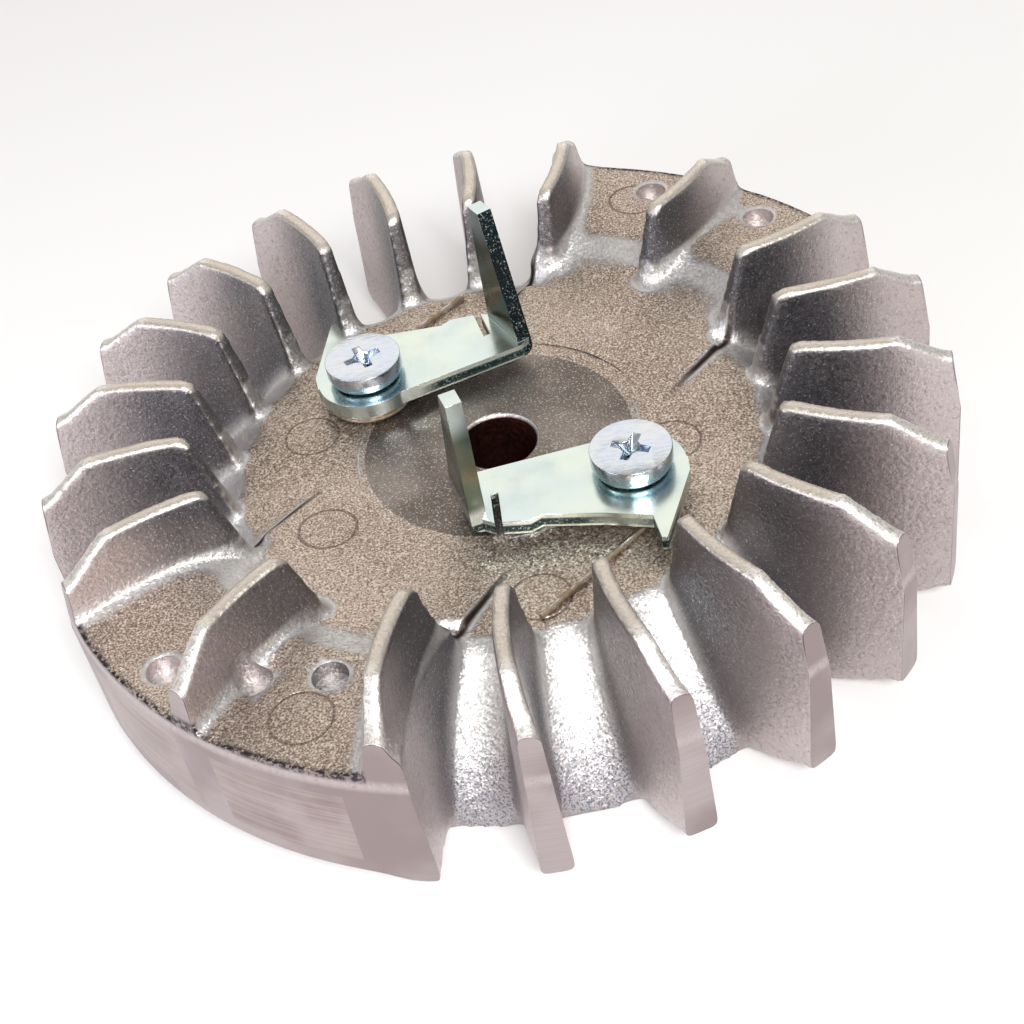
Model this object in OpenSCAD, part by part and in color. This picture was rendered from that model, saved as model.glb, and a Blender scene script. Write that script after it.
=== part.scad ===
// Cast flywheel of a small two-stroke engine, with two sprung starter pawls.
// Origin on the shaft axis, on the plane that the rim stands on. +Z points out of the fan side.

/* [Casting] */
// Turned outer radius of the vanes and blocks
rim_r = 51; // [48:0.5:56]
// Height of the flat hub plate above the rim's foot
plate_z = 14.7; // [13:0.1:16]
// Radius at which the hub plate turns down into the skirt
plate_r = 28.5; // [27:0.5:30]
// Outer radius of the skirt's foot
skirt_r = 42.7; // [41:0.1:44]
// Wall thickness of the plate and skirt
wall = 3; // [2:0.25:4]
// Radius of the turned seat around the shaft hole
seat_r = 15.5; // [13:0.5:17]
// Height of the turned seat above the plate
seat_rise = 0.25; // [0.1:0.05:0.4]

/* [Shaft hole] */
// Radius of the straight stretch of the shaft hole
bore_r = 4.4; // [4:0.1:5]
// Depth of the straight stretch
bore_depth = 4.5; // [3.5:0.5:6]
// Radius of the taper at its wide end
taper_r = 5.6; // [5.2:0.1:6.5]
// Radius of the hub boss under the plate
boss_r = 11; // [9.5:0.5:12]

/* [Vanes] */
// Pitch of neighbouring vanes in degrees
vane_pitch = 16.3; // [16:0.05:16.5]
// Direction of the middle of the counterweight block in degrees
block_az = 46.25; // [40:0.25:50]
// Height of the vanes' flat tops
vane_top_z = 26.1; // [25:0.1:28]
// Height of the vanes' outer top corners
vane_tip_z = 22.3; // [21:0.1:24]
// Height of the vanes' outer bottom corners
vane_foot_z = 4; // [3:0.25:5]
// Thickness of a vane at its top
vane_top_t = 1.7; // [1.4:0.1:2]
// Thickness of a vane at the foot of the skirt
vane_foot_t = 3.5; // [2.8:0.1:3.8]
// Radius of a vane's curve in plan
vane_bend_r = 38; // [34:1:46]

/* [Blocks] */
// Height of the blocks' flat tops
block_z = 18.3; // [17.8:0.1:18.8]
// Radius at which the blocks' tops begin
block_in_r = 37.5; // [36.5:0.5:38.5]
// Width of the ramp from the plate to each block, at its low end
ramp_w = 25.8; // [22:0.2:27]
// Depth of the round pin sockets in the blocks' tops
socket_depth = 2; // [1:0.25:2]
// Radius of the pin sockets
socket_r = 1.9; // [1.5:0.1:2.1]

/* [Magnet] */
// Angle of one pole shoe along the rim in degrees
shoe_angle = 17; // [14:0.5:17]
// Angle of the aluminium web between the shoes in degrees
shoe_gap = 5.2; // [4.5:0.1:7]
// Radial thickness of the pole shoes
shoe_t = 5.5; // [5:0.25:5.75]
// Height of the shoes and the magnet
shoe_h = 10; // [8:0.5:10.5]
// Length of the bar magnet
magnet_l = 21; // [18:1:21]
// Radial thickness of the bar magnet
magnet_t = 3; // [2:0.25:3]

/* [Pawls] */
// Distance of each pawl's pivot from the shaft axis
pivot_r = 18.4; // [18:0.1:19]
// Direction of the first pivot in degrees
pivot_az = 137.5; // [135:0.5:140]
// Sheet thickness of the pawls
pawl_t = 1.8; // [1.5:0.1:2]
// Height of the pawls' underside above the plate
pawl_lift = 1.8; // [1.7:0.1:1.9]
// Radius of the pawls' round end
pawl_end_r = 5.8; // [5.4:0.1:6]
// Height of the pawls' tabs above the plate
tab_top = 19.4; // [18:0.1:22]
// Angle by which the second pawl is turned inwards in degrees
pawl_2_turn = -11; // [-12:0.5:0]

/* [Screws and springs] */
// Radius of the screw heads
head_r = 4.45; // [4.2:0.05:4.6]
// Thickness of the screw heads
head_h = 1.7; // [1.4:0.1:2]
// Radius of the screws' shoulder
shoulder_r = 2.9; // [2.6:0.05:3]
// Radius of the screws' thread
thread_r = 2.5; // [2:0.05:2.5]
// Running clearance between pawl and shoulder
pivot_gap = 0.05; // [0.03:0.01:0.1]
// Radius of the washers
washer_r = 4.1; // [3.8:0.05:4.3]
// Thickness of the washers
washer_t = 0.7; // [0.5:0.05:0.8]
// Air between a pawl and what it turns past
air = 0.3; // [0.25:0.05:0.35]
// Diameter of the spring wire
wire_d = 0.65; // [0.5:0.05:0.65]
// Radius of the spring coils at the middle of the wire
coil_r = 4.9; // [4.6:0.05:5.1]
// Length of the spring leg that lies on the plate
leg_l = 20; // [14:0.5:21]

/* [Hidden] */
$fn = 96;
vane_az = concat(
    [for (i = [0 : 8]) block_az + 24.75 + i * vane_pitch],
    [block_az + 180],
    [for (i = [0 : 8]) block_az + 204.75 + i * vane_pitch],
    [block_az + 360]
);
vane_names = [for (i = [1 : len(vane_az)]) str("vane_", i < 10 ? "0" : "", i)];

// The skirt's outside is a small shoulder arc and then one long arc down to its foot
shoulder_bend = 3.2;
shoulder_turn = 40;
arc_steps = 6;
arc_top = [
    plate_r + shoulder_bend * sin(shoulder_turn),
    plate_z - shoulder_bend * (1 - cos(shoulder_turn))
];
foot_turn = 2 * atan2(arc_top[1], skirt_r - arc_top[0]) - shoulder_turn;
skirt_bend = (skirt_r - arc_top[0]) / (sin(foot_turn) - sin(shoulder_turn));
skirt_c = arc_top - skirt_bend * [sin(shoulder_turn), cos(shoulder_turn)];
function arc(c, r, a, b) =
    [for (i = [0 : arc_steps]) let (t = a + (b - a) * i / arc_steps) c + r * [sin(t), cos(t)]];
block_turn = acos((vane_foot_z - skirt_c[1]) / skirt_bend);
skirt_high = concat(
    arc([plate_r, plate_z - shoulder_bend], shoulder_bend, 0, shoulder_turn - 1),
    arc(skirt_c, skirt_bend, shoulder_turn, block_turn)
);
skirt_low = arc(skirt_c, skirt_bend, block_turn + 0.5, foot_turn);
skirt_out = concat(skirt_high, skirt_low);
skirt_in = arc(skirt_c, skirt_bend - wall, acos(-skirt_c[1] / (skirt_bend - wall)), shoulder_turn);

// A vane's centre line is an arc that bows backwards between root and tip
vane_bow_c = [40.6, vane_bend_r - 1.4];
vane_sweep = 44;
vane_root_r = 29.9;
vane_side = [
    [vane_root_r + 0.3, plate_z + 0.5],
    [33, vane_top_z - 0.6],
    [34, vane_top_z],
    [44.5, vane_top_z],
    [rim_r - 0.9, vane_tip_z]
];

// The blocks' tops sink to the plate in an S-shaped slope around the axis
block_from = block_az - 22;
block_to = block_az + 20.2;
block_slope = [for (s = [0 : 0.1 : 1]) [
    plate_r + (block_in_r - plate_r) * s,
    plate_z + (block_z - plate_z) * (1 - cos(180 * s)) / 2
]];

// The ramp rises along the block's direction, widening from the plate to the block
ramp_start = 12.5;
ramp_end = 36;
ramp_rise = 1.95;
ramp_flare = 2;

pawl_z = plate_z + pawl_lift;
pawl_top = pawl_z + pawl_t;
washer_z = pawl_top + air;
head_z = washer_z + washer_t;
thread_l = 6.5;
thread_boss_r = 5;
thread_boss_z = 7;
shoe_z = vane_foot_z + 1.6;
shoe_in_r = rim_r - shoe_t;
magnet_in_r = 41.2;
rivet_r = 1.2;
rivet_spread = 5.5;
spring_z = plate_z + seat_rise + 0.05 + wire_d / 2;
pivots = [for (k = [0, 180]) pivot_r * [cos(pivot_az + k), sin(pivot_az + k)]];

// Both ends of the tab's outer face, seen from the pivot
tab_near = [20, 0.4];
tab_far = [17, 7.2];
tab_turn = atan2(tab_far[1] - tab_near[1], tab_far[0] - tab_near[0]);
tab_l = norm(tab_far - tab_near);
tab_tip = [5, 7.3];

module sector(from, to) {
    rotate([0, 0, from])
        rotate_extrude(angle = to - from)
            children();
}

// Solid of revolution up to the skirt's outer face, used to trim what stands on it
module bell_form(from, to) {
    sector(from, to)
        polygon(concat([[20, -1], [20, plate_z]], skirt_out, [[skirt_r, -1]]));
}

module ramp_form() {
    reach = ramp_w / 2 + ramp_flare;
    rotate([0, 0, block_az])
        intersection() {
            translate([0, reach, 0])
                rotate([90, 0, 0])
                    linear_extrude(2 * reach)
                        polygon([
                            [ramp_start, plate_z],
                            [ramp_end, plate_z],
                            [ramp_end, plate_z + ramp_rise]
                        ]);
            translate([0, 0, plate_z - 1])
                linear_extrude(ramp_rise + 2)
                    polygon([
                        [ramp_start - 1, -ramp_w / 2],
                        [ramp_end, -reach],
                        [ramp_end, reach],
                        [ramp_start - 1, ramp_w / 2]
                    ]);
        }
}

module web_solid() {
    rotate_extrude()
        polygon(concat(
            [
                [taper_r, 0],
                [bore_r, plate_z + seat_rise - bore_depth],
                [bore_r, plate_z + seat_rise],
                [seat_r, plate_z + seat_rise],
                [seat_r, plate_z]
            ],
            skirt_out,
            skirt_in,
            [[boss_r + 1, plate_z - wall], [boss_r, 0]]
        ));
}

module hub_web() {
    color("tan")
        difference() {
            union() {
                web_solid();
                for (k = [0, 180])
                    rotate([0, 0, k])
                        intersection() {
                            ramp_form();
                            cylinder(r = plate_r, h = 40);
                        }
                for (p = pivots)
                    translate([p[0], p[1], thread_boss_z])
                        cylinder(r = thread_boss_r, h = plate_z - thread_boss_z - 1);
            }
            for (p = pivots)
                translate([p[0], p[1], plate_z - thread_l])
                    cylinder(r = thread_r, h = thread_l + 1);
        }
}

// A curved blade with draft along +X, thinner at the top
module blade_sweep() {
    translate([vane_bow_c[0], vane_bow_c[1], 0])
        sector(-90 - vane_sweep / 2, -90 + vane_sweep / 2)
            polygon([
                [vane_bend_r - vane_foot_t / 2, 0],
                [vane_bend_r + vane_foot_t / 2, 0],
                [vane_bend_r + vane_top_t / 2, vane_top_z + 1],
                [vane_bend_r - vane_top_t / 2, vane_top_z + 1]
            ]);
}

// The blade cut to the side profile that is given
module blade(side) {
    intersection() {
        blade_sweep();
        sector(-12, 12)
            polygon(side);
    }
}

module vane_blank() {
    blade(concat([[vane_root_r, plate_z - 2.5]], vane_side, [
        [rim_r, vane_foot_z],
        [rim_r - 1.2, vane_foot_z - 1],
        [skirt_r, 0.4],
        [38, 0.4]
    ]));
}

// The vane on the middle of a block is short: it ends on the block's slope and top
module block_vane() {
    foot = [for (p = block_slope) if (p[0] > vane_root_r + 0.3) p];
    difference() {
        blade(concat(vane_side, [[rim_r - 0.7, block_z]], [for (k = [len(foot) - 1 : -1 : 0]) foot[k]]));
        rotate([0, 0, -block_az])
            ramp_form();
    }
}

module vane(i) {
    color("gray")
        rotate([0, 0, vane_az[i]])
            if (i % 10 == 9)
                block_vane();
            else
                difference() {
                    vane_blank();
                    bell_form(-14, 14);
                }
}

// The block over the counterweight sector, between the two full vanes that close its ends
module block_form() {
    sector(block_from, block_to)
        polygon(concat(
            block_slope,
            [[rim_r, block_z], [rim_r, vane_foot_z]],
            [for (k = [len(skirt_high) - 1 : -1 : 1]) skirt_high[k]]
        ));
    intersection() {
        ramp_form();
        sector(block_from, block_to)
            translate([plate_r, plate_z])
                square([block_in_r - plate_r, ramp_rise]);
    }
}

module block_sockets(places) {
    for (p = places)
        rotate([0, 0, p[1]])
            translate([p[0], 0, block_z - socket_depth])
                cylinder(r = socket_r, h = socket_depth + 1);
}

module counterweight_block() {
    color("tan")
        difference() {
            block_form();
            block_sockets([[46.8, block_az - 9], [46.5, block_az + 10.2]]);
        }
}

module magnet_block() {
    color("tan")
        difference() {
            rotate([0, 0, 180])
                block_form();
            block_sockets([
                [46.7, block_az + 170.7],
                [42.5, block_az + 182],
                [39.3, block_az + 192]
            ]);
            pole_shoe_form(1, 1);
            pole_shoe_form(-1, 1);
            magnet_form();
        }
}

// A pole shoe's sector, and with some depth added outwards, the pocket that it lies in
module pole_shoe_form(side, added) {
    mid = block_az + 180 + side * (shoe_gap + shoe_angle) / 2;
    sector(mid - shoe_angle / 2, mid + shoe_angle / 2)
        translate([shoe_in_r, shoe_z])
            square([shoe_t + added, shoe_h]);
}

module rivets(side) {
    mid = block_az + 180 + side * (shoe_gap + shoe_angle) / 2;
    for (a = [-rivet_spread, rivet_spread])
        rotate([0, 0, mid + a])
            translate([rim_r - shoe_t / 2, 0, shoe_z])
                cylinder(r = rivet_r, h = shoe_h);
}

module pole_shoe(side) {
    color("dimgray")
        difference() {
            pole_shoe_form(side, 0);
            rivets(side);
        }
}

module shoe_rivets() {
    color("slategray") {
        rivets(1);
        rivets(-1);
    }
}

module magnet_form() {
    rotate([0, 0, block_az + 180])
        translate([magnet_in_r, -magnet_l / 2, shoe_z])
            cube([magnet_t, magnet_l, shoe_h]);
}

module magnet() {
    color("darkslategray")
        magnet_form();
}

module pawl_screws() {
    color("lightsteelblue")
        for (p = pivots)
            translate([p[0], p[1], 0])
                difference() {
                    union() {
                        translate([0, 0, plate_z - thread_l])
                            cylinder(r = thread_r, h = thread_l + 0.1);
                        translate([0, 0, plate_z])
                            cylinder(r = shoulder_r, h = head_z - plate_z + 0.1);
                        translate([0, 0, head_z])
                            cylinder(r = head_r, h = head_h);
                    }
                    for (a = [20, 110])
                        rotate([0, 0, a])
                            translate([-2.1, -0.45, head_z + head_h - 1.1])
                                cube([4.2, 0.9, 2]);
                }
}

module pawl_washers() {
    color("silver")
        for (p = pivots)
            translate([p[0], p[1], washer_z])
                difference() {
                    cylinder(r = washer_r, h = washer_t);
                    translate([0, 0, -1])
                        cylinder(r = shoulder_r, h = washer_t + 2);
                }
}

// Pawl about its own pivot: a flat arm with a pointed tail, and an upright tab on its free end
module pawl_form() {
    difference() {
        union() {
            translate([0, 0, pawl_z]) {
                cylinder(r = pawl_end_r, h = pawl_t);
                linear_extrude(pawl_t)
                    polygon([
                        [1, -5.2],
                        [18.4, -0.4],
                        [19.5, 0.6],
                        [16.3, 6.5],
                        [14.5, 7.4],
                        [15.2, 3.1],
                        [14.4, 2.8],
                        [13.7, 7.4],
                        [10.8, 7.4],
                        [9.6, 6.6],
                        [3, 7],
                        [-2.1, 7.9],
                        [-3, 11.2],
                        [-3.6, 11.2],
                        [-6.1, 1.2],
                        [-5.9, -0.9],
                        [-3, -2]
                    ]);
            }
            translate([tab_near[0], tab_near[1], pawl_z])
                rotate([0, 0, tab_turn])
                    translate([0, pawl_t, 0])
                        rotate([90, 0, 0])
                            linear_extrude(pawl_t)
                                polygon([
                                    [0, 0],
                                    [tab_l, 0],
                                    [tab_tip[1], tab_top - pawl_lift],
                                    [tab_tip[0], tab_top - pawl_lift]
                                ]);
        }
        translate([0, 0, pawl_z - 1])
            cylinder(r = shoulder_r + pivot_gap, h = pawl_t + 2);
    }
}

module pawl(k) {
    color("lightgray")
        translate([pivots[k][0], pivots[k][1], 0])
            rotate([0, 0, k * (180 + pawl_2_turn)])
                pawl_form();
}

// Torsion spring about its own pivot: a ring for the closed turns and a leg lying on the plate
module pawl_spring(k) {
    color("darkgoldenrod")
        translate([pivots[k][0], pivots[k][1], spring_z])
            rotate([0, 0, k * 180]) {
                rotate_extrude()
                    translate([coil_r - wire_d / 2, -wire_d / 2])
                        square([wire_d, 2 * wire_d]);
                rotate([0, 0, 37.5])
                    translate([0, coil_r, 0.03])
                        rotate([0, 90, 0])
                            cylinder(d = wire_d, h = leg_l, $fn = 24);
            }
}

hub_web();
counterweight_block();
magnet_block();
for (i = [0 : len(vane_az) - 1])
    vane(i);
magnet();
pole_shoe(1);  // pole_shoe_1
pole_shoe(-1);  // pole_shoe_2
shoe_rivets();
pawl_screws();
pawl_washers();
pawl(0);  // pawl_1
pawl(1);  // pawl_2
pawl_spring(0);  // pawl_spring_1
pawl_spring(1);  // pawl_spring_2
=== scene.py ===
import math

import bpy
import numpy as np
from mathutils import Matrix, Vector


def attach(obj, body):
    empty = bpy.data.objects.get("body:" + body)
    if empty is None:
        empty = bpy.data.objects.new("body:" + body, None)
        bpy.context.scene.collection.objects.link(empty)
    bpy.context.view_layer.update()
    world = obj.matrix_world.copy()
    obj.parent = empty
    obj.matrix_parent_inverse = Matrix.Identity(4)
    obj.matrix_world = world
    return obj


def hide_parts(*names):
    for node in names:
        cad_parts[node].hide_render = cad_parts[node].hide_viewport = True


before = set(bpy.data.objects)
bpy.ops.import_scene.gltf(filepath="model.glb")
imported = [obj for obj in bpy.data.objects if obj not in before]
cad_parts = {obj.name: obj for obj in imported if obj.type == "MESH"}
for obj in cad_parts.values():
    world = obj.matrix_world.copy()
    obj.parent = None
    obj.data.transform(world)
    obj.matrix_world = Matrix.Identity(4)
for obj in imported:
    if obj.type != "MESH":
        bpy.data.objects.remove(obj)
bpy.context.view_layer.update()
scene = bpy.context.scene


# ---------------------------------------------------------------------------
# Bench and light
# The wheel lies on a plain pale bench under soft studio lamps. One large lamp
# stands beside the viewer, a warm one behind the wheel and a cool one at the side.
# ---------------------------------------------------------------------------
scene.view_settings.view_transform = "Standard"
scene.world = bpy.data.worlds.new("studio_room")
scene.world.use_nodes = True
scene.world.node_tree.nodes["Background"].inputs["Color"].default_value = (1.0, 0.98, 0.96, 1)
scene.world.node_tree.nodes["Background"].inputs["Strength"].default_value = 0.40


def take(*objects):
    bpy.ops.object.select_all(action="DESELECT")
    for o in objects:
        o.select_set(True)
    bpy.context.view_layer.objects.active = objects[0]
    return objects[0]


def name_piece(name):
    piece = bpy.context.active_object
    piece.name = name
    piece.data.name = name
    return piece


def lamp(name, place, aim, size, power, colour):
    bpy.ops.object.select_all(action="DESELECT")
    bpy.ops.object.light_add(type="AREA", location=place)
    light = bpy.context.active_object
    light.name = name
    light.data.shape = "RECTANGLE"
    light.data.size, light.data.size_y = size
    light.data.energy = power
    light.data.color = colour
    light.rotation_euler = (Vector(aim) - Vector(place)).to_track_quat("-Z", "Y").to_euler()
    return light


wheel_middle = (0, 0, 0.012)
lamp("viewer_lamp", (0.06, -0.40, 0.42), wheel_middle, (0.22, 0.14), 3.4, (1.0, 0.99, 0.98))
lamp("back_lamp", (0.0, 0.62, 0.50), wheel_middle, (0.90, 0.50), 1.5, (1.0, 0.93, 0.86))
lamp("side_lamp", (-0.52, -0.30, 0.16), wheel_middle, (0.30, 0.24), 1.7, (0.90, 0.90, 1.0))

bpy.ops.object.select_all(action="DESELECT")
bpy.ops.mesh.primitive_plane_add(size=6, location=(0, 0, -0.0002))
bench = name_piece("bench")
paper = bpy.data.materials.new("white_paper")
paper.use_nodes = True
paper.node_tree.nodes["Principled BSDF"].inputs["Base Color"].default_value = (0.86, 0.86, 0.86, 1)
paper.node_tree.nodes["Principled BSDF"].inputs["Roughness"].default_value = 0.9
bench.data.materials.append(paper)

# The viewer looks down at 43 degrees, with the head tipped a little
view_rise = 0.747
view_roll = -0.201
back = Vector((0, -math.cos(view_rise), math.sin(view_rise)))
level = Vector((1, 0, 0))
upright = back.cross(level)
right = math.cos(view_roll) * level + math.sin(view_roll) * upright
up = math.cos(view_roll) * upright - math.sin(view_roll) * level
bpy.ops.object.select_all(action="DESELECT")
bpy.ops.object.camera_add()
camera = bpy.context.active_object
camera.name = "viewer"
camera.data.sensor_width = 36
camera.data.lens = 59.87
camera.data.clip_start = 0.005
turn = Matrix((right, up, back)).transposed().to_4x4()
camera.matrix_world = Matrix.Translation((-0.000067, -0.14730, 0.14005)) @ turn
scene.camera = camera


# ---------------------------------------------------------------------------
# Casting
# Hub plate, skirt, both blocks and all vanes are one aluminium die casting. It
# comes out of the die with soft edges and root fillets and is shot-blasted.
# Then the outside diameter, the sockets and the shaft hole are machined.
# ---------------------------------------------------------------------------
def dressed(piece, **settings):
    kind = settings.pop("kind")
    modifier = piece.modifiers.new(kind.lower(), kind)
    for key, value in settings.items():
        setattr(modifier, key, value)
    take(piece)
    bpy.ops.object.modifier_apply(modifier=modifier.name)
    return piece


def loose_copy(names, new_name):
    take(*[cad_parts[n] for n in names])
    bpy.ops.object.duplicate()
    copies = list(bpy.context.selected_objects)
    for c in copies:
        c.parent = None
        for key in list(c.keys()):
            del c[key]
    take(*copies)
    if len(copies) > 1:
        bpy.ops.object.join()
    piece = name_piece(new_name)
    piece.data.materials.clear()
    bpy.ops.object.mode_set(mode="EDIT")
    bpy.ops.mesh.select_all(action="SELECT")
    bpy.ops.mesh.remove_doubles(threshold=2e-6)
    bpy.ops.object.mode_set(mode="OBJECT")
    return piece


def points_of(piece):
    places = np.empty(len(piece.data.vertices) * 3)
    piece.data.vertices.foreach_get("co", places)
    return places.reshape(-1, 3)


def set_points(piece, places):
    piece.data.vertices.foreach_set("co", places.ravel())
    piece.data.update()


vane_names = ["vane_%02d" % n for n in range(1, 21)]
cast_names = ["hub_web", "counterweight_block", "magnet_block"] + vane_names

plate_z = 0.0147
block_z = 0.0183
rim_r = 0.051
block_degrees = 46.25
block_az = math.radians(block_degrees)
skirt_c = (-0.007594, -0.031515)
skirt_bend = 0.059352


def skirt_height(reach, height):
    """How far a place stands outside the skirt's outer face"""
    return np.hypot(reach - skirt_c[0], height - skirt_c[1]) - skirt_bend


# The vanes and blocks grow past the rim and sink into what they stand on, so that they fuse
casting = loose_copy(vane_names + ["counterweight_block", "magnet_block"], "casting")
places = points_of(casting)
reach = np.hypot(places[:, 0], places[:, 1])
angle = np.degrees(np.arctan2(places[:, 1], places[:, 0])) % 180 - block_degrees
for edge, spread in ((-22, -3.0), (20.2, 3.6)):
    end = (np.abs(angle - edge) < 0.05) & (reach > 0.0284)
    far = np.radians(spread)
    x, y = places[end, 0].copy(), places[end, 1].copy()
    places[end, 0] = x * np.cos(far) - y * np.sin(far)
    places[end, 1] = x * np.sin(far) + y * np.cos(far)
outer = (reach > 0.0499) & (places[:, 2] > 0.0025)
places[outer, :2] *= 1.03
lift = skirt_height(reach, places[:, 2])
sunk = (np.abs(lift) < 0.0002) & (reach > 0.0303)
places[sunk, 2] -= 0.0009
places[sunk, :2] *= 0.985
shoulder = (np.abs(np.hypot(reach - 0.0285, places[:, 2] - 0.0115) - 0.0032) < 0.0002) & (reach <= 0.0303)
places[shoulder, 2] -= 0.0009
slope = np.clip((reach - 0.0285) / 0.009, 0, 1)
slope = plate_z + (block_z - plate_z) * (1 - np.cos(np.pi * slope)) / 2
foot = (np.abs(angle) < 4) & (np.abs(places[:, 2] - slope) < 0.0004) & (reach > 0.0295) & (reach < 0.0515)
places[foot, 2] -= 0.0008
places[:, 2] = np.clip(places[:, 2], 0.0001, None)
set_points(casting, places)

# Below the block's level the two end vanes are thicker on their open side
thick_sides = []
for name, degrees in (("vane_01", 71.0), ("vane_11", 251.0)):
    thick = loose_copy([name], name + "_thick")
    a = math.radians(degrees)
    tip = Vector((-0.16 * math.cos(a), -0.16 * math.sin(a), 1)).normalized()
    bpy.ops.object.mode_set(mode="EDIT")
    bpy.ops.mesh.select_all(action="SELECT")
    bpy.ops.mesh.bisect(plane_co=(0.040 * math.cos(a), 0.040 * math.sin(a), 0.0193), plane_no=tip,
                        use_fill=True, clear_outer=True)
    bpy.ops.object.mode_set(mode="OBJECT")
    places = points_of(thick)
    x, y = places[:, 0].copy(), places[:, 1].copy()
    c, t = math.cos(math.radians(1.5)), math.sin(math.radians(1.5))
    places[:, 0], places[:, 1] = c * x - t * y, t * x + c * y
    outer = np.hypot(x, y) > 0.0495
    places[outer, :2] *= 1.03
    set_points(thick, places)
    thick_sides.append(thick)

web = loose_copy(["hub_web"], "web")

# Metal that is cut away later stands around the shaft hole
bpy.ops.object.select_all(action="DESELECT")
bpy.ops.mesh.primitive_cylinder_add(vertices=96, radius=0.0157, depth=0.0012, location=(0, 0, 0.0147))
seat_stock = bpy.context.active_object
bpy.ops.object.select_all(action="DESELECT")
bpy.ops.mesh.primitive_cylinder_add(vertices=96, radius=0.0085, depth=0.0152, location=(0, 0, 0.0077))
hole_stock = bpy.context.active_object
stocks = []
for side in (1, -1):
    bpy.ops.object.select_all(action="DESELECT")
    bpy.ops.mesh.primitive_cylinder_add(
        vertices=48, radius=0.0035, depth=0.0073, location=(side * -0.013566, side * 0.012431, 0.0109))
    stocks.append(bpy.context.active_object)

# The magnet set's pockets are filled, then cut again with sharp edges
magnets = loose_copy(["pole_shoe_1", "pole_shoe_2", "magnet", "shoe_rivets"], "magnet_stock")
places = points_of(magnets)
outer = np.hypot(places[:, 0], places[:, 1]) > 0.0505
places[outer, :2] *= 1.03
set_points(magnets, places)

take(casting, web, seat_stock, hole_stock, magnets, *stocks, *thick_sides)
bpy.ops.object.join()
casting = name_piece("casting")
dressed(casting, kind="REMESH", mode="VOXEL", voxel_size=0.0004)


def neighbours(piece):
    pairs = np.empty(len(piece.data.edges) * 2, dtype=np.int64)
    piece.data.edges.foreach_get("vertices", pairs)
    pairs = pairs.reshape(-1, 2)
    return pairs, np.bincount(pairs.ravel(), minlength=len(piece.data.vertices))


def pull(places, pairs, count):
    """Step from each point to the middle of its neighbours"""
    total = np.empty_like(places)
    for axis in range(3):
        total[:, axis] = np.bincount(pairs[:, 0], places[pairs[:, 1], axis], len(places))
        total[:, axis] += np.bincount(pairs[:, 1], places[pairs[:, 0], axis], len(places))
    return total / count[:, None] - places


pairs, count = neighbours(casting)
places = points_of(casting)
for step in range(3):
    places = places + 0.5 * pull(places, pairs, count)
set_points(casting, places)

# Inner corners fill up to root fillets; outer corners keep their place
reach = np.hypot(places[:, 0], places[:, 1])
share = np.clip((reach - 0.0290) / 0.0015, 0.03, 1) * np.where(places[:, 2] < 0.001, 0.2, 1)
for step in range(90):
    if step % 10 == 0:
        set_points(casting, places)
        normals = np.empty(len(places) * 3)
        casting.data.vertex_normals.foreach_get("vector", normals)
        normals = normals.reshape(-1, 3)
    rise = np.einsum("ij,ij->i", pull(places, pairs, count), normals)
    places = places + (0.9 * share * np.clip(rise, 0, None))[:, None] * normals
for step in range(4):
    places = places + 0.5 * pull(places, pairs, count)
set_points(casting, places)


def cut(piece, tool, operation="DIFFERENCE"):
    dressed(piece, kind="BOOLEAN", operation=operation, object=tool, solver="EXACT")
    bpy.data.objects.remove(tool)


def turned_form(profile, name, steps=192, start=0.0, angle=2 * math.pi):
    """A profile of (radius, height) pairs turned about the shaft axis"""
    bpy.ops.object.select_all(action="DESELECT")
    bpy.ops.mesh.primitive_plane_add(size=0.01)
    form = name_piece(name)
    bpy.ops.object.mode_set(mode="EDIT")
    bpy.ops.mesh.select_mode(type="VERT")
    bpy.ops.mesh.select_all(action="SELECT")
    bpy.ops.mesh.delete(type="VERT")
    bpy.ops.object.mode_set(mode="OBJECT")
    form.data.from_pydata(
        [(r * math.cos(start), r * math.sin(start), z) for r, z in profile],
        [(i, (i + 1) % len(profile)) for i in range(len(profile))], [])
    take(form)
    bpy.ops.object.mode_set(mode="EDIT")
    bpy.ops.mesh.select_all(action="SELECT")
    bpy.ops.mesh.spin(steps=steps, angle=-angle, center=(0, 0, 0), axis=(0, 0, 1))
    bpy.ops.mesh.select_all(action="SELECT")
    bpy.ops.mesh.remove_doubles(threshold=1e-6)
    if angle < 6:
        bpy.ops.mesh.fill_holes(sides=len(profile))
        bpy.ops.mesh.select_all(action="SELECT")
    bpy.ops.mesh.normals_make_consistent(inside=False)
    bpy.ops.object.mode_set(mode="OBJECT")
    return form


dressed(casting, kind="DECIMATE", ratio=0.335)
envelope = turned_form(
    [(0, 0.0), (rim_r, 0.0), (rim_r, 0.016), (0.05005, 0.0226), (0.0500, 0.032), (0, 0.032)], "envelope", 256)
cut(casting, envelope, "INTERSECT")
seat_z = 0.01495
bore_tool = turned_form(
    [(0, -0.001), (0.00564, -0.001), (0.0056, 0), (0.0044, seat_z - 0.0045), (0.0044, seat_z - 0.0004),
     (0.0048, seat_z), (0.0175, seat_z), (0.0175, 0.02), (0, 0.02)], "bore_tool", 96)
cut(casting, bore_tool)

# Pin sockets in the blocks' tops, 2 mm deep: three in the magnet block, two in the other
socket_r, socket_depth = 0.0019, 0.002
socket_places = ((0.0467, 216.95), (0.0425, 228.25), (0.0393, 238.25), (0.0468, 37.25), (0.0465, 56.45))
for radius, degrees in socket_places:
    bpy.ops.object.select_all(action="DESELECT")
    a = math.radians(degrees)
    bpy.ops.mesh.primitive_cylinder_add(
        vertices=48, radius=socket_r, depth=2 * socket_depth,
        location=(radius * math.cos(a), radius * math.sin(a), block_z))
    cut(casting, bpy.context.active_object)

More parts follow.
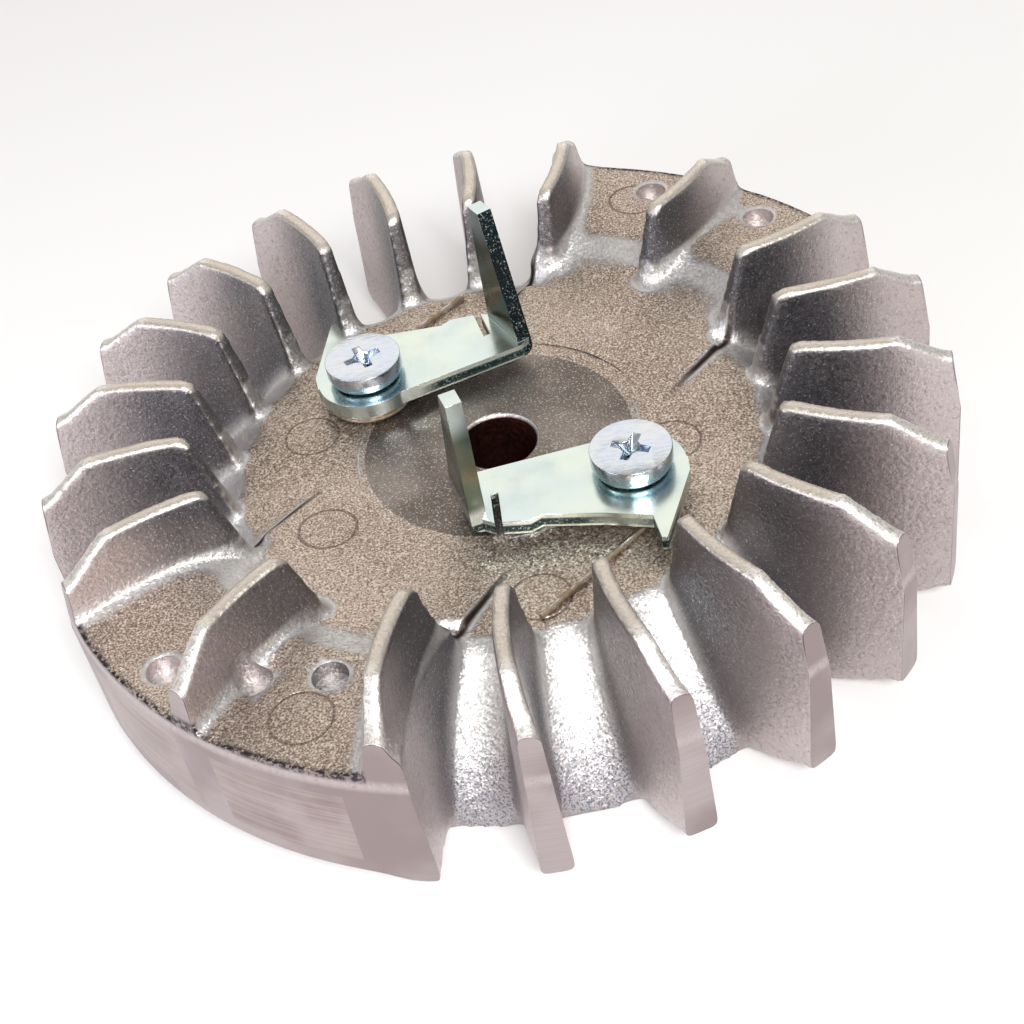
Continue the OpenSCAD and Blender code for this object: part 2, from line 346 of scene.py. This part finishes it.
# One pocket for each pole shoe, open at the rim
shoe_low, shoe_high, shoe_t = 0.0056, 0.0156, 0.0055
shoe_angle, half_gap = math.radians(17), math.radians(2.6)
for first in (block_az + math.pi - half_gap - shoe_angle, block_az + math.pi + half_gap):
    inside, outside = rim_r - shoe_t, rim_r + 0.001
    pocket = turned_form(
        [(inside, shoe_low), (outside, shoe_low), (outside, shoe_high), (inside, shoe_high)],
        "pocket", 24, first, shoe_angle)
    cut(casting, pocket)


# Every metal here is made of the same few steps: a shader, grain and colour by place
def metal(name, colour, roughness):
    material = bpy.data.materials.new(name)
    material.use_nodes = True
    shader = material.node_tree.nodes["Principled BSDF"]
    shader.inputs["Base Color"].default_value = (*colour, 1)
    shader.inputs["Metallic"].default_value = 1
    shader.inputs["Roughness"].default_value = roughness
    return material, material.node_tree, shader


def feed(tree, socket, value):
    if isinstance(value, bpy.types.NodeSocket):
        tree.links.new(value, socket)
    elif isinstance(value, (tuple, list)) and len(value) == 3 and socket.type == "RGBA":
        socket.default_value = (*value, 1)
    else:
        socket.default_value = value


def sums(tree, operation, a, b=0.0, clamp=False):
    node = tree.nodes.new("ShaderNodeMath")
    node.operation = operation
    node.use_clamp = clamp
    feed(tree, node.inputs[0], a)
    feed(tree, node.inputs[1], b)
    return node.outputs[0]


def vectors(tree, operation, a, b=(0, 0, 0), out=0):
    node = tree.nodes.new("ShaderNodeVectorMath")
    node.operation = operation
    feed(tree, node.inputs[0], a)
    feed(tree, node.inputs[1], b)
    return node.outputs[out]


def ramp(tree, value, low, high, to_low=0.0, to_high=1.0):
    node = tree.nodes.new("ShaderNodeMapRange")
    node.interpolation_type = "SMOOTHSTEP"
    feed(tree, node.inputs["Value"], value)
    for key, number in (("From Min", low), ("From Max", high), ("To Min", to_low), ("To Max", to_high)):
        node.inputs[key].default_value = number
    return node.outputs["Result"]


def blend_colours(tree, share, a, b, how="MIX"):
    node = tree.nodes.new("ShaderNodeMix")
    node.data_type = "RGBA"
    node.blend_type = how
    feed(tree, node.inputs["Factor"], share)
    feed(tree, node.inputs["A"], a)
    feed(tree, node.inputs["B"], b)
    return node.outputs["Result"]


def place_of(tree):
    return tree.nodes.new("ShaderNodeTexCoord").outputs["Object"]


def grain(tree, place, scale, detail=2.0, rough=0.5):
    node = tree.nodes.new("ShaderNodeTexNoise")
    feed(tree, node.inputs["Vector"], place)
    node.inputs["Scale"].default_value = scale
    node.inputs["Detail"].default_value = detail
    node.inputs["Roughness"].default_value = rough
    return node.outputs["Fac"]


def bumps(tree, shader, height, depth, strength=1.0, under=None):
    node = tree.nodes.new("ShaderNodeBump")
    node.inputs["Distance"].default_value = depth
    node.inputs["Strength"].default_value = strength
    feed(tree, node.inputs["Height"], height)
    if under is not None:
        feed(tree, node.inputs["Normal"], under)
    tree.links.new(node.outputs["Normal"], shader.inputs["Normal"])
    return node


cast_metal, tree, shader = metal("cast_aluminium", (0.56, 0.51, 0.47), 0.45)
place = place_of(tree)
split = tree.nodes.new("ShaderNodeSeparateXYZ")
feed(tree, split.inputs[0], place)
height = split.outputs["Z"]
reach = vectors(tree, "LENGTH", vectors(tree, "MULTIPLY", place, (1, 1, 0)), out=1)
facing = tree.nodes.new("ShaderNodeSeparateXYZ")
feed(tree, facing.inputs[0], tree.nodes.new("ShaderNodeTexCoord").outputs["Normal"])
slant = facing.outputs["Z"]
clouds = grain(tree, place, 70, 3)
specks = grain(tree, place, 2000, 2, 0.6)
fine = grain(tree, place, 4600, 1)


def both(a, b):
    return sums(tree, "MULTIPLY", a, b)


def without(a):
    return sums(tree, "SUBTRACT", 1.0, a)


low_down = ramp(tree, height, 0.0196, 0.0189)
flat_share = both(ramp(tree, slant, 0.93, 0.985), low_down)
crest_share = both(ramp(tree, slant, 0.25, 0.65), without(low_down))
channel_share = both(both(ramp(tree, slant, 0.10, 0.40), without(ramp(tree, slant, 0.93, 0.985))), low_down)
edge_share = sums(tree, "SUBTRACT", reach, ramp(tree, height, 0.016, 0.0226, rim_r - 0.00012, 0.04993))
edge_share = ramp(tree, edge_share, 0.0, 0.00006)
seat_share = both(ramp(tree, reach, 0.0155, 0.0153), ramp(tree, height, 0.01485, 0.0149))
hole_share = both(ramp(tree, reach, 0.0058, 0.0056), ramp(tree, height, 0.01485, 0.0145))
outer_share = ramp(tree, reach, 0.0365, 0.0475)

# Vane sides are smooth outside; their grey near the hub is painted shade at the roots, the pinkish tone
# outside is a painted reflection, and the pale fine specks are painted glints
side_colour = blend_colours(tree, outer_share, (0.15, 0.15, 0.165), (0.60, 0.53, 0.53))
side_colour = blend_colours(tree, ramp(tree, clouds, 0.35, 0.65, 0.0, 0.35), side_colour, (0.40, 0.34, 0.32))
side_colour = blend_colours(tree, ramp(tree, fine, 0.62, 0.72, 0.0, 0.5), side_colour, (0.85, 0.83, 0.80))
side_colour = blend_colours(tree, ramp(tree, specks, 0.42, 0.32, 0.0, 0.30), side_colour, (0.20, 0.17, 0.17))
# Flats are warm, with brown grains and cream painted glints side by side
flat_colour = blend_colours(tree, ramp(tree, clouds, 0.35, 0.65), (0.42, 0.34, 0.285), (0.56, 0.47, 0.40))
flat_colour = blend_colours(tree, ramp(tree, fine, 0.50, 0.64, 0.0, 0.75), flat_colour, (0.90, 0.83, 0.74))
flat_colour = blend_colours(tree, ramp(tree, fine, 0.46, 0.34, 0.0, 0.70), flat_colour, (0.20, 0.13, 0.09))
# Channels between the vanes carry a near-white painted highlight that fades to a darker grey towards the
# foot, with dark grains towards the foot
foot_share = ramp(tree, height, 0.0085, 0.0015)
channel_colour = blend_colours(tree, foot_share, (0.72, 0.71, 0.70), (0.50, 0.47, 0.48))
dark_grain = both(ramp(tree, fine, 0.54, 0.36), ramp(tree, height, 0.012, 0.003, 0.10, 0.85))
channel_colour = blend_colours(tree, dark_grain, channel_colour, (0.16, 0.17, 0.23))
# Crests are tan over their inner, level part; the cream over their slanted outer part is a painted highlight
dark_specks = ramp(tree, fine, 0.46, 0.34, 0.0, 0.5)
crest_colour = blend_colours(tree, dark_specks, (0.93, 0.90, 0.85), (0.42, 0.38, 0.34))
level_part = ramp(tree, reach, 0.0445, 0.0425, 0.0, 0.65)
crest_colour = blend_colours(tree, level_part, crest_colour, (0.62, 0.55, 0.47))

colour = blend_colours(tree, flat_share, side_colour, flat_colour)
colour = blend_colours(tree, channel_share, colour, channel_colour)
colour = blend_colours(tree, crest_share, colour, crest_colour)

# The turned rim is smooth and mauve, with faint tool lines
lines = grain(tree, vectors(tree, "MULTIPLY", place, (40, 40, 5200)), 1.0, 2)
rim_colour = blend_colours(tree, ramp(tree, clouds, 0.38, 0.62), (0.32, 0.26, 0.26), (0.46, 0.395, 0.40))
rim_colour = blend_colours(tree, ramp(tree, lines, 0.4, 0.62, 0.0, 0.22), rim_colour, (0.30, 0.25, 0.25))
colour = blend_colours(tree, edge_share, colour, rim_colour)
seat_colour = blend_colours(tree, ramp(tree, clouds, 0.38, 0.62), (0.17, 0.145, 0.13), (0.30, 0.265, 0.24))
seat_colour = blend_colours(tree, ramp(tree, fine, 0.56, 0.70, 0.0, 0.6), seat_colour, (0.72, 0.68, 0.62))
colour = blend_colours(tree, seat_share, colour, seat_colour)
# The shaft hole's wall is painted dark red-brown, as painted shade inside the hole
colour = blend_colours(tree, hole_share, colour, (0.10, 0.035, 0.025))
# The sockets' floors are bright
socket_share = both(ramp(tree, height, 0.0168, 0.0165), ramp(tree, slant, 0.9, 0.97))
socket_share = both(socket_share, ramp(tree, reach, 0.0370, 0.0372))
colour = blend_colours(tree, socket_share, colour, (0.92, 0.90, 0.88))

# Turned into line with the blocks, a dark burr follows the blocks' upper outer edge
turned = tree.nodes.new("ShaderNodeVectorRotate")
turned.rotation_type = "Z_AXIS"
feed(tree, turned.inputs["Vector"], place)
turned.inputs["Angle"].default_value = -block_az
plan = tree.nodes.new("ShaderNodeSeparateXYZ")
feed(tree, plan.inputs[0], turned.outputs[0])
run = sums(tree, "ABSOLUTE", plan.outputs["X"])
side = sums(tree, "ABSOLUTE", plan.outputs["Y"])
on_block = both(ramp(tree, side, 0.0198, 0.0194), ramp(tree, run, 0.0440, 0.0450))
burr = both(ramp(tree, height, block_z - 0.0008, block_z - 0.0001), ramp(tree, reach, 0.0498, 0.0505))
burr = both(both(burr, on_block), both(ramp(tree, specks, 0.40, 0.54, 0.25, 1.0), low_down))
colour = blend_colours(tree, burr, colour, (0.05, 0.04, 0.05))
# A thin dark line of painted shadow runs along both side walls of both ramps
wall_at = ramp(tree, run, 0.0115, 0.036, 0.0129, 0.0149)
tree.nodes[-1].interpolation_type = "LINEAR"
off_wall = sums(tree, "ABSOLUTE", sums(tree, "SUBTRACT", side, wall_at))
ramp_wall_shadow_line = both(ramp(tree, run, 0.0135, 0.021), ramp(tree, run, 0.0285, 0.0270))
ramp_wall_shadow_line = both(both(ramp(tree, off_wall, 0.0005, 0.0001), ramp_wall_shadow_line), low_down)
colour = blend_colours(tree, ramp_wall_shadow_line, colour, (0.05, 0.035, 0.03))

# Ejector pins left faint round outlines
ejector_r = 0.0032
ejector_places = (
    (0.045, 238.2), (0.044, 58.0), (0.0198, 343.5), (0.0253, 272.5), (0.0222, 205.0), (0.0225, 160.0))
flat_place = vectors(tree, "MULTIPLY", place, (1, 1, 0))
rings = None
for radius, degrees in ejector_places:
    a = math.radians(degrees)
    off = vectors(tree, "SUBTRACT", flat_place, (radius * math.cos(a), radius * math.sin(a), 0))
    off = sums(tree, "SUBTRACT", vectors(tree, "LENGTH", off, out=1), ejector_r)
    line = ramp(tree, sums(tree, "ABSOLUTE", off), 0.00022, 0.00006)
    rings = line if rings is None else sums(tree, "MAXIMUM", rings, line)
rings = both(rings, flat_share)
colour = blend_colours(tree, both(rings, 0.6), colour, (0.14, 0.09, 0.07))
feed(tree, shader.inputs["Base Color"], colour)

machined = sums(tree, "MAXIMUM", edge_share, seat_share)
rough = ramp(tree, specks, 0.3, 0.7, 0.58, 0.42)
rough = sums(tree, "ADD", both(rough, without(edge_share)), both(edge_share, 0.40))
feed(tree, shader.inputs["Roughness"], rough)

# Shot-blasted skin: small facets that each throw the light their own way
facets = tree.nodes.new("ShaderNodeTexVoronoi")
facets.inputs["Scale"].default_value = 4300
feed(tree, facets.inputs["Vector"], place)
tilt = vectors(tree, "SUBTRACT", facets.outputs["Color"], (0.5, 0.5, 0.5))
lively = sums(tree, "ADD", both(flat_share, 0.30), sums(tree, "ADD", both(channel_share, 0.10), 0.13))
lively = both(lively, without(both(machined, 0.85)))
spread = tree.nodes.new("ShaderNodeVectorMath")
spread.operation = "SCALE"
feed(tree, spread.inputs[0], tilt)
feed(tree, spread.inputs["Scale"], lively)
skin = tree.nodes.new("ShaderNodeNewGeometry").outputs["Normal"]
skin = vectors(tree, "NORMALIZE", vectors(tree, "ADD", skin, spread.outputs[0]))
relief = both(specks, without(both(machined, 0.9)))
relief = sums(tree, "SUBTRACT", relief, both(rings, 0.6))
# The ramp walls' painted-shadow line is also pressed in as a shallow groove
relief = sums(tree, "SUBTRACT", relief, both(ramp_wall_shadow_line, 2.0))
bumps(tree, shader, relief, 0.00012, 0.8, skin)

casting.data.materials.append(cast_metal)
take(casting)
bpy.ops.object.shade_smooth_by_angle(angle=math.radians(38))
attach(casting, "flywheel")
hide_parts(*cast_names)


# ---------------------------------------------------------------------------
# Magnet set
# Two pole shoes of stacked dark steel lie in the block, flush with its turned
# wall. Rivets hold the stacks, and a bar magnet joins the shoes behind the wall.
# ---------------------------------------------------------------------------
shoe_steel, tree, shader = metal("shoe_steel", (0.33, 0.27, 0.26), 0.40)
place = place_of(tree)
sheets = vectors(tree, "MULTIPLY", place, (60, 60, 2600))
layers = grain(tree, sheets, 1.0, 2)
patches = grain(tree, place, 160, 3)
colour = blend_colours(tree, ramp(tree, patches, 0.35, 0.65), (0.30, 0.235, 0.23), (0.43, 0.36, 0.35))
colour = blend_colours(tree, ramp(tree, layers, 0.42, 0.6, 0.0, 0.35), colour, (0.50, 0.44, 0.42))
feed(tree, shader.inputs["Base Color"], colour)
feed(tree, shader.inputs["Roughness"], ramp(tree, patches, 0.3, 0.7, 0.34, 0.48))
bumps(tree, shader, layers, 0.00003, 0.5)
magnet_grey, tree, shader = metal("sintered_magnet", (0.12, 0.12, 0.13), 0.55)
place = place_of(tree)
pores = grain(tree, place, 1800, 2)
feed(tree, shader.inputs["Base Color"], blend_colours(tree, pores, (0.08, 0.08, 0.09), (0.20, 0.19, 0.19)))
bumps(tree, shader, pores, 0.0001, 0.5)
for name, metal_of_it in (("pole_shoe_1", shoe_steel), ("pole_shoe_2", shoe_steel),
                          ("shoe_rivets", shoe_steel), ("magnet", magnet_grey)):
    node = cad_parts[name]
    node.data.materials.clear()
    node.data.materials.append(metal_of_it)


# ---------------------------------------------------------------------------
# Starter pawls
# Each pawl is stamped from 1.8 mm steel sheet, and its free end is bent up into
# the tab that the starter catches. Bright zinc plating; the punched edge is torn.
# ---------------------------------------------------------------------------
pawl_low, pawl_high = 0.0165, 0.0183
pivots = ((-0.013566, 0.012431), (0.013566, -0.012431))
pawl_turns = (0, math.radians(169))

zinc, tree, shader = metal("pawl_zinc", (0.56, 0.62, 0.58), 0.24)
place = place_of(tree)
facing = tree.nodes.new("ShaderNodeSeparateXYZ")
feed(tree, facing.inputs[0], tree.nodes.new("ShaderNodeTexCoord").outputs["Normal"])
split = tree.nodes.new("ShaderNodeSeparateXYZ")
feed(tree, split.inputs[0], place)
height = split.outputs["Z"]
tints = grain(tree, place, 130, 2)
more_tints = grain(tree, vectors(tree, "ADD", place, (0.3, 0.1, 0.2)), 260, 3)
colour = blend_colours(tree, ramp(tree, tints, 0.35, 0.65), (0.54, 0.64, 0.65), (0.60, 0.68, 0.62))
colour = blend_colours(tree, ramp(tree, more_tints, 0.56, 0.72, 0, 0.35), colour, (0.46, 0.60, 0.58))
# The punched edge: a burnished rim at the top, a torn dark band, and a bright burr at the bottom
side_share = ramp(tree, sums(tree, "ABSOLUTE", facing.outputs["Z"]), 0.6, 0.3)
below_top = ramp(tree, height, pawl_high - 0.00045, pawl_high - 0.0007)
above_foot = ramp(tree, height, pawl_low + 0.00022, pawl_low + 0.0004)
tear = grain(tree, place, 3000, 2, 0.7)
torn = both(side_share, both(below_top, above_foot))
for x, y in pivots:
    off = vectors(tree, "MULTIPLY", vectors(tree, "SUBTRACT", place, (x, y, 0)), (1, 1, 0))
    torn = both(torn, ramp(tree, vectors(tree, "LENGTH", off, out=1), 0.0062, 0.0090))
dark = blend_colours(tree, ramp(tree, tear, 0.52, 0.68), (0.03, 0.06, 0.06), (0.34, 0.42, 0.42))
colour = blend_colours(tree, torn, colour, dark)
# The tabs' faces carry a painted dark reflection, dark green and brown, up to near the tip
tab_dark_reflection = both(ramp(tree, height, pawl_high + 0.0006, pawl_high + 0.0020), ramp(tree, height, 0.0322, 0.0290))
tab_dark_reflection = both(tab_dark_reflection, ramp(tree, more_tints, 0.25, 0.45, 0.75, 1.0))
tab_reflection_colour = blend_colours(tree, ramp(tree, tints, 0.42, 0.58), (0.10, 0.14, 0.11), (0.17, 0.16, 0.11))
colour = blend_colours(tree, tab_dark_reflection, colour, tab_reflection_colour)
feed(tree, shader.inputs["Base Color"], colour)
rough = sums(tree, "ADD", ramp(tree, more_tints, 0.3, 0.7, 0.16, 0.28), both(torn, 0.25))
feed(tree, shader.inputs["Roughness"], rough)
bumps(tree, shader, sums(tree, "ADD", both(tear, torn), both(more_tints, 0.12)), 0.00012, 0.5)

torn_edge, tree, shader = metal("pawl_torn_edge", (0.06, 0.08, 0.08), 0.45)
place = place_of(tree)
tear = grain(tree, place, 3600, 2, 0.7)
colour = blend_colours(tree, ramp(tree, tear, 0.56, 0.68), (0.016, 0.026, 0.03), (0.50, 0.58, 0.58))
feed(tree, shader.inputs["Base Color"], colour)
feed(tree, shader.inputs["Roughness"], ramp(tree, tear, 0.4, 0.6, 0.5, 0.25))
bumps(tree, shader, tear, 0.00018, 0.8)


def pawl_place(k, x, y):
    """A place on the pawl's own plan, from its pivot, as it lies on the wheel"""
    c, s = math.cos(pawl_turns[k]), math.sin(pawl_turns[k])
    return pivots[k][0] + c * x - s * y, pivots[k][1] + s * x + c * y


def choose_edges(piece, test):
    mesh = piece.data
    for part in (mesh.vertices, mesh.edges, mesh.polygons):
        part.foreach_set("select", [False] * len(part))
    for edge in mesh.edges:
        a, b = (mesh.vertices[i].co for i in edge.vertices)
        edge.select = bool(test(a, b))
        if edge.select:
            for i in edge.vertices:
                mesh.vertices[i].select = True


for k, name in enumerate(("pawl_1", "pawl_2")):
    pawl = loose_copy([name], name + "_stamping")
    bpy.ops.object.mode_set(mode="EDIT")
    bpy.ops.mesh.select_all(action="SELECT")
    bpy.ops.mesh.dissolve_limited(angle_limit=math.radians(0.6))
    bpy.ops.mesh.select_mode(type="EDGE")
    bpy.ops.object.mode_set(mode="OBJECT")
    near = Vector(pawl_place(k, 0.0200, 0.0004))
    far = Vector(pawl_place(k, 0.0170, 0.0072))
    along = (far - near).normalized()

    def on_bend(a, b):
        for p in (a, b):
            off = Vector((p.x, p.y)) - near
            if abs(p.z - pawl_low) > 1e-5 or abs(off.x * along.y - off.y * along.x) > 2e-5:
                return False
        return (a - b).length > 0.003

    choose_edges(pawl, on_bend)
    bpy.ops.object.mode_set(mode="EDIT")
    bpy.ops.mesh.bevel(offset=0.0016, segments=6, affect="EDGES", clamp_overlap=True)
    bpy.ops.object.mode_set(mode="OBJECT")
    take(pawl)
    bpy.ops.object.shade_smooth()
    dressed(pawl, kind="BEVEL", width=0.00016, segments=2, limit_method="ANGLE",
            angle_limit=math.radians(40), use_clamp_overlap=True)
    dressed(pawl, kind="WEIGHTED_NORMAL", keep_sharp=True, weight=100)
    pawl.data.materials.append(zinc)
    pawl.data.materials.append(torn_edge)
    # The tab's slanted near edge is torn all the way up
    for face in pawl.data.polygons:
        middle = face.center
        off = Vector((middle.x, middle.y)) - near
        leans = face.normal.x * along.x + face.normal.y * along.y
        if middle.z > pawl_high + 0.0004 and leans < -0.6:
            face.material_index = 1
    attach(pawl, name)
    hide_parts(name)


# ---------------------------------------------------------------------------
# Shoulder screws
# Flat-headed, with a cross recess punched in. The shoulder is what the pawl
# turns on, and the shank screws into the hub. Bright blue zinc plating.
# ---------------------------------------------------------------------------
blue_zinc, tree, shader = metal("screw_zinc", (0.57, 0.61, 0.62), 0.22)
place = place_of(tree)
tints = grain(tree, place, 320, 2)
split = tree.nodes.new("ShaderNodeSeparateXYZ")
feed(tree, split.inputs[0], place)
low_share = ramp(tree, split.outputs["Z"], 0.0200, 0.0192)
colour = blend_colours(tree, ramp(tree, tints, 0.35, 0.65), (0.54, 0.60, 0.70), (0.58, 0.62, 0.66))
low_colour = blend_colours(tree, tints, (0.42, 0.60, 0.78), (0.66, 0.80, 0.84))
colour = blend_colours(tree, low_share, colour, low_colour)
feed(tree, shader.inputs["Base Color"], colour)
scuffs = grain(tree, vectors(tree, "MULTIPLY", place, (1, 3.5, 1)), 900, 2)
feed(tree, shader.inputs["Roughness"], ramp(tree, scuffs, 0.3, 0.7, 0.15, 0.30))
bumps(tree, shader, scuffs, 0.00004, 0.4)

head_z, head_h, head_r = 0.0193, 0.0017, 0.00445
shoulder_r, thread_r = 0.0029, 0.0025
shoulder_l, thread_l = 0.0193 - 0.0147, 0.0062


def edit():
    bpy.ops.object.mode_set(mode="EDIT")


def leave():
    bpy.ops.object.mode_set(mode="OBJECT")


def choose_faces(piece, test):
    edit()
    bpy.ops.mesh.select_mode(type="FACE")
    bpy.ops.mesh.select_all(action="DESELECT")
    leave()
    for face in piece.data.polygons:
        face.select = bool(test(face))
    edit()


def screw(where, turn, name):
    bpy.ops.object.select_all(action="DESELECT")
    bpy.ops.mesh.primitive_cylinder_add(
        vertices=96, radius=head_r, depth=head_h, location=(0, 0, head_z + head_h / 2))
    piece = name_piece(name)
    bpy.ops.object.transform_apply(location=True)
    choose_faces(piece, lambda f: f.normal.z < -0.9)
    for wide, narrow, drop in ((head_r, shoulder_r, shoulder_l), (shoulder_r, thread_r, thread_l)):
        bpy.ops.mesh.inset(thickness=wide - narrow)
        bpy.ops.mesh.extrude_region_move(TRANSFORM_OT_translate={"value": (0, 0, -drop)})
    leave()
    # Cross recess: two wings that narrow downwards
    for a in (turn, turn + 90):
        bpy.ops.object.select_all(action="DESELECT")
        bpy.ops.mesh.primitive_cube_add(size=1, location=(0, 0, 0))
        wing = bpy.context.active_object
        for v in wing.data.vertices:
            top = v.co.z > 0
            v.co.x *= 0.0050 if top else 0.0017
            v.co.y *= 0.00105 if top else 0.0007
            v.co.z = head_z + head_h + 0.0004 if top else head_z + head_h - 0.00150
        wing.rotation_euler = (0, 0, math.radians(a))
        take(wing)
        bpy.ops.object.transform_apply(rotation=True)
        cut(piece, wing)
    bpy.ops.object.select_all(action="DESELECT")
    bpy.ops.mesh.primitive_cone_add(
        vertices=4, radius1=0.0004, radius2=0.0016, depth=0.0019,
        location=(0, 0, head_z + head_h - 0.00075), rotation=(0, 0, math.radians(turn)))
    cut(piece, bpy.context.active_object)
    dressed(piece, kind="BEVEL", width=0.00022, segments=3, limit_method="ANGLE",
            angle_limit=math.radians(50))
    take(piece)
    piece.location = (where[0], where[1], 0)
    bpy.ops.object.transform_apply(location=True)
    bpy.ops.object.shade_smooth_by_angle(angle=math.radians(35))
    piece.data.materials.append(blue_zinc)
    return piece


screws = [screw(pivots[0], 20, "screw_left"), screw(pivots[1], 62, "screw_right")]
take(*screws)
bpy.ops.object.join()
screws = name_piece("shoulder_screws")
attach(screws, "flywheel")
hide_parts("pawl_screws")


# ---------------------------------------------------------------------------
# Washers
# A thin punched ring under each screw head, with rolled edges, in the same
# blue zinc as the screws.
# ---------------------------------------------------------------------------
washers = []
low, high, inside, outside = 0.0186, 0.0193, 0.00292, 0.00412
for where in pivots:
    washer = turned_form([(inside, low), (outside, low), (outside, high), (inside, high)], "washer", 96)
    dressed(washer, kind="BEVEL", width=0.00018, segments=3, limit_method="ANGLE",
            angle_limit=math.radians(50))
    washer.location = (where[0], where[1], 0)
    take(washer)
    bpy.ops.object.transform_apply(location=True)
    bpy.ops.object.shade_smooth_by_angle(angle=math.radians(35))
    washer.data.materials.append(blue_zinc)
    washers.append(washer)
take(*washers)
bpy.ops.object.join()
washers = name_piece("head_washers")
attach(washers, "flywheel")
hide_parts("pawl_washers")


# ---------------------------------------------------------------------------
# Pawl springs
# Two close turns of drawn steel wire round the shoulder, under the pawl. The
# lower end runs out straight and lies on the hub plate.
# ---------------------------------------------------------------------------
wire_brown, tree, shader = metal("spring_wire", (0.34, 0.30, 0.25), 0.34)
place = place_of(tree)
stains = grain(tree, place, 700, 3)
colour = blend_colours(tree, ramp(tree, stains, 0.4, 0.62), (0.66, 0.62, 0.56), (0.40, 0.30, 0.20))
feed(tree, shader.inputs["Base Color"], colour)
feed(tree, shader.inputs["Roughness"], ramp(tree, stains, 0.4, 0.6, 0.26, 0.48))
bumps(tree, shader, stains, 0.00003, 0.4)

wire_r, coil_r = 0.00033, 0.0049
for k, name in enumerate(("pawl_spring_1", "pawl_spring_2")):
    swing = math.pi * k
    low = 0.01495 + wire_r + 0.00003
    path = []
    for step in range(73):
        share = step / 72
        a = math.radians(127.5) + swing + share * math.radians(740)
        x, y = pivots[k][0] + coil_r * math.cos(a), pivots[k][1] + coil_r * math.sin(a)
        path.append((x, y, low + share * 0.00072))
    path.reverse()
    a = math.radians(37.5) + swing
    root = path[-1]
    for run, drop in ((0.0015, 0.0), (0.0035, 0.0), (0.006, 0.0001), (0.010, 0.00022), (0.020, 0.00022)):
        path.append((root[0] + run * math.cos(a), root[1] + run * math.sin(a), low - drop))
    bpy.ops.object.select_all(action="DESELECT")
    line = bpy.data.curves.new(name + "_wire", "CURVE")
    line.dimensions = "3D"
    spline = line.splines.new("POLY")
    spline.points.add(len(path) - 1)
    for point, where in zip(spline.points, path):
        point.co = (*where, 1)
    line.bevel_depth = wire_r
    line.bevel_resolution = 3
    line.use_fill_caps = True
    wire = bpy.data.objects.new(name + "_wire", line)
    scene.collection.objects.link(wire)
    take(wire)
    bpy.ops.object.convert(target="MESH")
    wire = name_piece(name + "_wire")
    bpy.ops.object.shade_smooth_by_angle(angle=math.radians(50))
    wire.data.materials.append(wire_brown)
    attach(wire, "flywheel")
    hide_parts(name)
